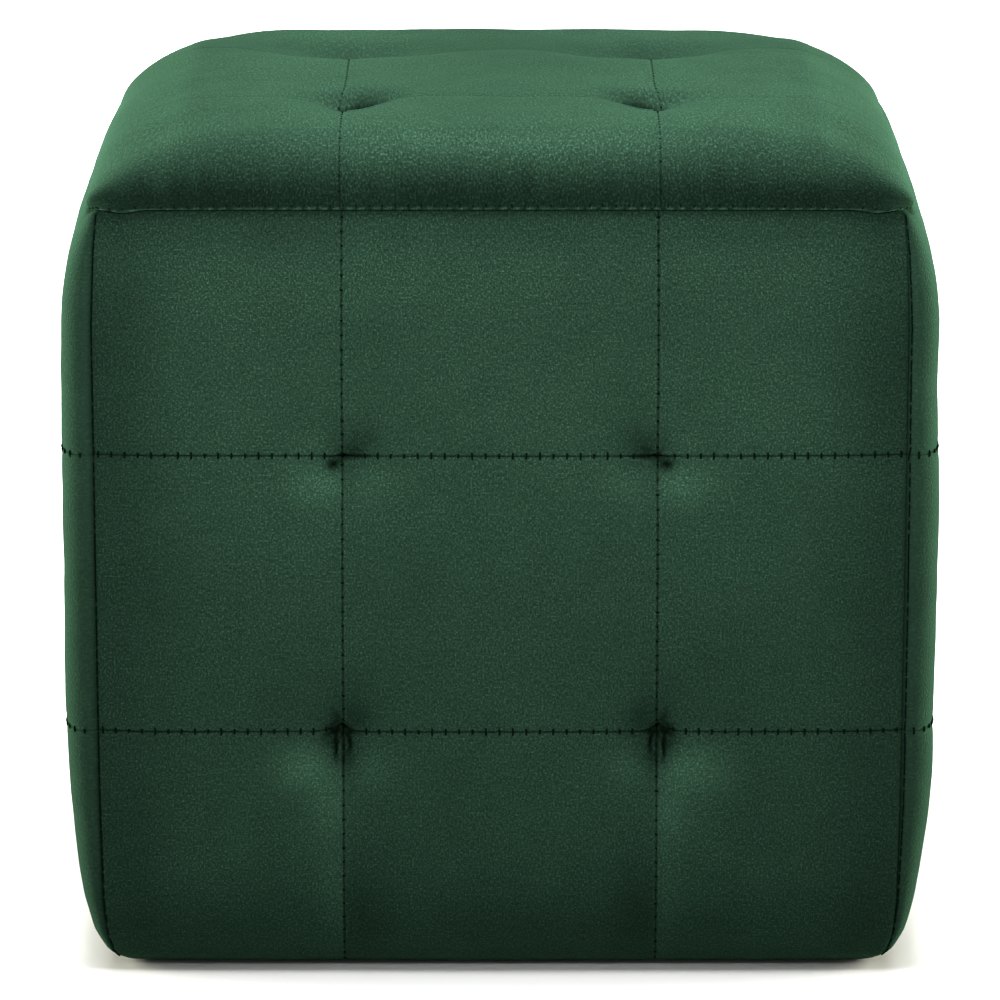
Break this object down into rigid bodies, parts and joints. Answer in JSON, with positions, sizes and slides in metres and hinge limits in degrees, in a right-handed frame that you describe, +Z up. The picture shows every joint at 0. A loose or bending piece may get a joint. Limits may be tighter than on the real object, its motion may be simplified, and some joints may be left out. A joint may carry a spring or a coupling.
{
  "type": "cube pouf stool",
  "caption": "Upholstered cube pouf stool with a crowned top and padded velvet panels, sewn in channels and tufted where the channels cross.",
  "frame": {"origin": "on the floor under the middle of the pouf", "axes": "+Z up, the front panel faces -Y, +X to the right of someone who looks at the front"},
  "size_m": [0.2998, 0.2998, 0.2935],
  "materials": {
    "velvet": "deep green short-pile velvet with tone-on-tone stitching",
    "base_cloth": "plain dark non-woven cloth"
  },
  "bodies": {
    "root": {"top_panel": "velvet", "front_panel": "velvet", "right_panel": "velvet", "back_panel": "velvet", "left_panel": "velvet", "base_panel": "base_cloth"}
  },
  "joints": []
}
